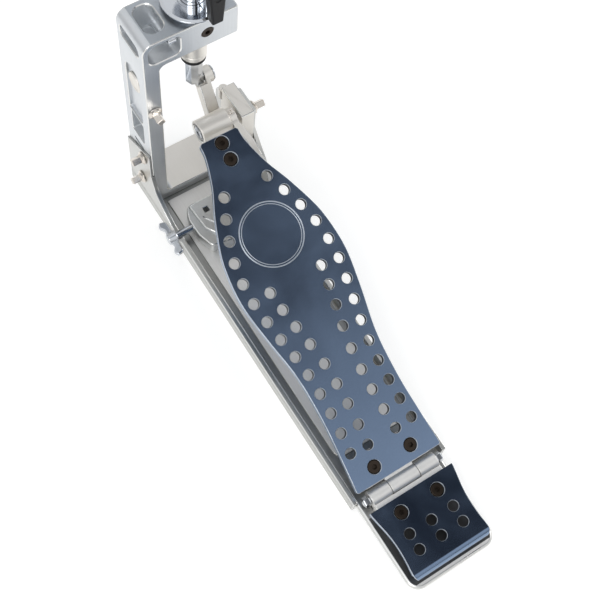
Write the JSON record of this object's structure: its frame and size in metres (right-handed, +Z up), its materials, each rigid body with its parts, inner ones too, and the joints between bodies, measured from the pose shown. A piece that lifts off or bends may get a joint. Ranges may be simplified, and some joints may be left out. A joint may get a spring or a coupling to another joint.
{
  "type": "hi-hat stand",
  "caption": "Direct-drive hi-hat stand: perforated footboard on a base plate, C-shaped frame, telescopic column with folding legs, pull rod, cymbal seat and clutch.",
  "frame": {"origin": "on the floor, under the axis of the column and its pull rod", "axes": "+Z up along the pull rod, the footboard's heel towards -Y and its toe towards +Y, +X to the right of someone who plays it"},
  "size_m": [0.4172, 0.7994, 0.98],
  "materials": {
    "satin_steel": "brushed",
    "satin_aluminium": "satin",
    "cast_alloy": "satin",
    "chrome": "polished",
    "black_steel": "matte",
    "blue_anodised": "satin",
    "rubber": "matte",
    "black_plastic": "satin",
    "felt": "matte"
  },
  "bodies": {
    "base": {"base_mat": "rubber", "base_plate": "satin_steel", "left_rail": "satin_aluminium", "right_rail": "satin_aluminium", "c_frame": "satin_aluminium", "right_post": "satin_aluminium", "side_medallion": "chrome", "ear_screw_upper": "chrome", "ear_screw_lower": "chrome", "post_screw": "chrome", "upright_screw": "chrome", "arm_screw": "black_steel", "heel_plate": "blue_anodised", "heel_plate_screw_left": "black_steel", "heel_plate_screw_right": "black_steel", "heel_leaf": "satin_steel", "hinge_pin": "chrome", "guide_bush": "satin_aluminium", "tube_flange": "chrome", "lower_tube": "chrome", "tube_collar": "chrome", "clamp_block": "cast_alloy", "return_spring": "satin_steel", "height_clamp": "satin_aluminium"},
    "footboard": {"footboard": "blue_anodised", "footboard_leaf": "satin_steel", "footboard_screw_left": "black_steel", "footboard_screw_right": "black_steel", "toe_screw_back": "black_steel", "toe_screw_front": "black_steel", "toe_bracket": "satin_aluminium", "toe_shaft": "satin_steel"},
    "link": {"drive_link": "satin_aluminium", "link_bearing": "chrome"},
    "rod": {"rod_coupler": "chrome", "coupler_pin": "chrome", "pull_rod": "chrome", "rubber_bumper": "rubber"},
    "side_wing": {"wing_screw": "chrome"},
    "lever": {"clamp_lever": "black_plastic"},
    "leg_base": {"brace_collar": "satin_aluminium"},
    "leg_slider": {"leg_collar": "satin_aluminium"},
    "slider_wing": {"collar_wing": "chrome"},
    "left_leg": {"leg_left": "satin_aluminium", "foot_left": "rubber"},
    "right_leg": {"leg_right": "satin_aluminium", "foot_right": "rubber"},
    "left_brace": {"brace_left": "satin_aluminium"},
    "right_brace": {"brace_right": "satin_aluminium"},
    "upper": {"upper_tube": "chrome", "seat_holder": "satin_aluminium"},
    "clamp_wing": {"height_wing": "chrome"},
    "seat": {"seat_cup": "black_plastic", "seat_felt": "felt"},
    "seat_screw": {"tilt_screw": "chrome"},
    "clutch": {"clutch_body": "chrome", "clutch_lower_nut": "chrome", "clutch_lower_felt": "felt", "clutch_upper_felt": "felt"},
    "clutch_screw": {"clutch_wing": "chrome"}
  },
  "joints": [
    {"name": "footboard_hinge", "type": "hinge", "parent": "base", "child": "footboard", "pos_m": [-0.01, -0.364, 0.019], "axis": [1, 0, 0], "range_deg": [-7, 0], "stiffness_Nm_per_rad": 4, "springref_deg": 40.11},
    {"name": "link_pivot", "type": "hinge", "parent": "footboard", "child": "link", "pos_m": [-0.01, -0.036, 0.1205], "axis": [1, 0, 0], "range_deg": [0, 29.2]},
    {"name": "rod_slide", "type": "slide", "parent": "base", "child": "rod", "axis": [0, 0, 1], "range_m": [-0.0283, 0], "deforming": ["return_spring"]},
    {"name": "side_wing_turn", "type": "hinge", "parent": "base", "child": "side_wing", "pos_m": [-0.0592, -0.066, 0.02], "axis": [1, 0, 0], "continuous": true},
    {"name": "lever_turn", "type": "hinge", "parent": "base", "child": "lever", "pos_m": [0.0036, -0.0291, 0.281], "axis": [0, 1, 0], "continuous": true},
    {"name": "leg_swivel", "type": "hinge", "parent": "base", "child": "leg_base", "pos_m": [0, 0, 0.31], "axis": [0, 0, 1], "range_deg": [-20, 20]},
    {"name": "collar_slide", "type": "slide", "parent": "leg_base", "child": "leg_slider", "axis": [0, 0, 1], "range_m": [0, 0.0353]},
    {"name": "leg_fold", "type": "hinge", "parent": "leg_slider", "child": "left_leg", "pos_m": [-0.013, 0.02252, 0.42857], "axis": [-0.866, -0.5, 0], "range_deg": [0, 26]},
    {"name": "right_leg_fold", "type": "hinge", "parent": "leg_slider", "child": "right_leg", "pos_m": [0.013, 0.02252, 0.42857], "axis": [-0.866, 0.5, 0], "range_deg": [0, 26]},
    {"name": "left_brace_fold", "type": "hinge", "parent": "leg_base", "child": "left_brace", "pos_m": [-0.013, 0.02252, 0.306], "axis": [0.866, 0.5, 0], "range_deg": [0, 26]},
    {"name": "right_brace_fold", "type": "hinge", "parent": "leg_base", "child": "right_brace", "pos_m": [0.013, 0.02252, 0.306], "axis": [0.866, -0.5, 0], "range_deg": [0, 26]},
    {"name": "slider_wing_turn", "type": "hinge", "parent": "leg_slider", "child": "slider_wing", "pos_m": [0, -0.0213, 0.42857], "axis": [0, 1, 0], "continuous": true},
    {"name": "height_slide", "type": "slide", "parent": "base", "child": "upper", "axis": [0, 0, 1], "range_m": [-0.06, 0.02]},
    {"name": "clamp_wing_turn", "type": "hinge", "parent": "base", "child": "clamp_wing", "pos_m": [0, -0.0213, 0.568], "axis": [0, 1, 0], "continuous": true},
    {"name": "seat_tilt", "type": "hinge", "parent": "upper", "child": "seat", "pos_m": [0, 0.015, 0.8093], "axis": [-1, 0, 0], "range_deg": [0, 5]},
    {"name": "seat_screw_turn", "type": "hinge", "parent": "upper", "child": "seat_screw", "pos_m": [0, -0.022, 0.809], "axis": [0, 0, 1], "continuous": true},
    {"name": "clutch_slide", "type": "slide", "parent": "rod", "child": "clutch", "axis": [0, 0, 1], "range_m": [-0.02, 0.02]},
    {"name": "clutch_screw_turn", "type": "hinge", "parent": "clutch", "child": "clutch_screw", "pos_m": [0, -0.0113, 0.932], "axis": [0, 1, 0], "continuous": true}
  ],
  "couplings": [
    {"joint": "link_pivot", "follows": "footboard_hinge", "ratio": -4.16},
    {"joint": "rod_slide", "follows": "footboard_hinge", "m_per_rad": 0.2315},
    {"joint": "collar_slide", "follows": "leg_fold", "m_per_rad": 0.0775},
    {"joint": "right_leg_fold", "follows": "leg_fold", "ratio": 1},
    {"joint": "left_brace_fold", "follows": "leg_fold", "ratio": 1},
    {"joint": "right_brace_fold", "follows": "leg_fold", "ratio": 1}
  ]
}
